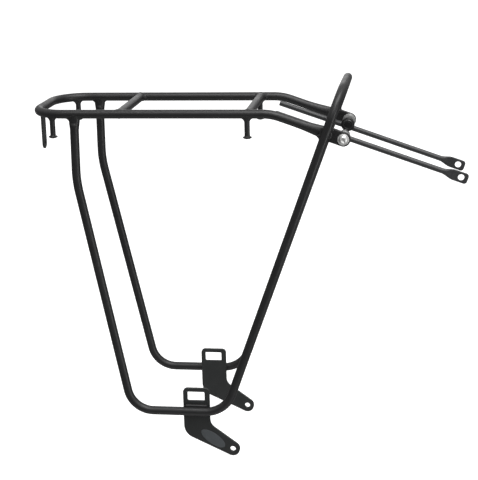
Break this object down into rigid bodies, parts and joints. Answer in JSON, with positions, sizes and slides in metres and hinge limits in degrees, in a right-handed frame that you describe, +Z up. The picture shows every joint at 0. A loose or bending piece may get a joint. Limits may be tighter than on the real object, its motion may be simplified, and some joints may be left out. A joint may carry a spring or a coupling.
{
  "type": "bicycle rear rack",
  "caption": "Bent-tube rear bicycle rack with a front hoop, open platform, drilled foot plates and adjustable front stays.",
  "frame": {"origin": "midway between the two foot plate holes, on their common axis", "axes": "+X towards the front of the bicycle, +Y to its left, +Z up"},
  "size_m": [0.5066, 0.1606, 0.4477],
  "materials": {
    "frame_powder_coat": "satin-matte black powder coat on aluminium alloy rod",
    "plate_powder_coat": "matte black powder coat on aluminium alloy plate",
    "badge_print": "satin dark grey blank badge",
    "bolt_steel": "turned, zinc-bright steel",
    "collar_metal": "dark grey satin metal",
    "barrel_black": "black coated steel",
    "stay_black": "semi-gloss black coated steel rod"
  },
  "bodies": {
    "frame": {"platform_tube": "frame_powder_coat", "side_frame_tube": "frame_powder_coat", "rear_cross_bar": "frame_powder_coat", "front_cross_bar": "frame_powder_coat", "right_foot_plate": "plate_powder_coat", "left_foot_plate": "plate_powder_coat", "right_plate_badge": "badge_print", "reflector_tab": "plate_powder_coat", "right_rear_cord_post": "frame_powder_coat", "left_rear_cord_post": "frame_powder_coat", "right_front_cord_post": "frame_powder_coat", "left_front_cord_post": "frame_powder_coat"},
    "right_clamp": {"right_clamp_bolt": "bolt_steel", "right_clamp_washer": "bolt_steel", "right_clamp_collar": "collar_metal", "right_clamp_barrel": "barrel_black"},
    "left_clamp": {"left_clamp_bolt": "bolt_steel", "left_clamp_washer": "bolt_steel", "left_clamp_collar": "collar_metal", "left_clamp_barrel": "barrel_black"},
    "right_stay": {"right_stay_rod": "stay_black"},
    "left_stay": {"left_stay_rod": "stay_black"}
  },
  "joints": [
    {"name": "right_stay_tilt", "type": "hinge", "parent": "frame", "child": "right_clamp", "pos_m": [0.13397, -0.0625, 0.37883], "axis": [0, -1, 0], "range_deg": [-30, 45]},
    {"name": "right_stay_slide", "type": "slide", "parent": "right_clamp", "child": "right_stay", "axis": [0.9438, 0, -0.3305], "range_m": [-0.02, 0.065]},
    {"name": "left_stay_tilt", "type": "hinge", "parent": "frame", "child": "left_clamp", "pos_m": [0.13397, 0.0625, 0.37883], "axis": [0, -1, 0], "range_deg": [-30, 45]},
    {"name": "left_stay_slide", "type": "slide", "parent": "left_clamp", "child": "left_stay", "axis": [0.9438, 0, -0.3305], "range_m": [-0.02, 0.065]}
  ]
}
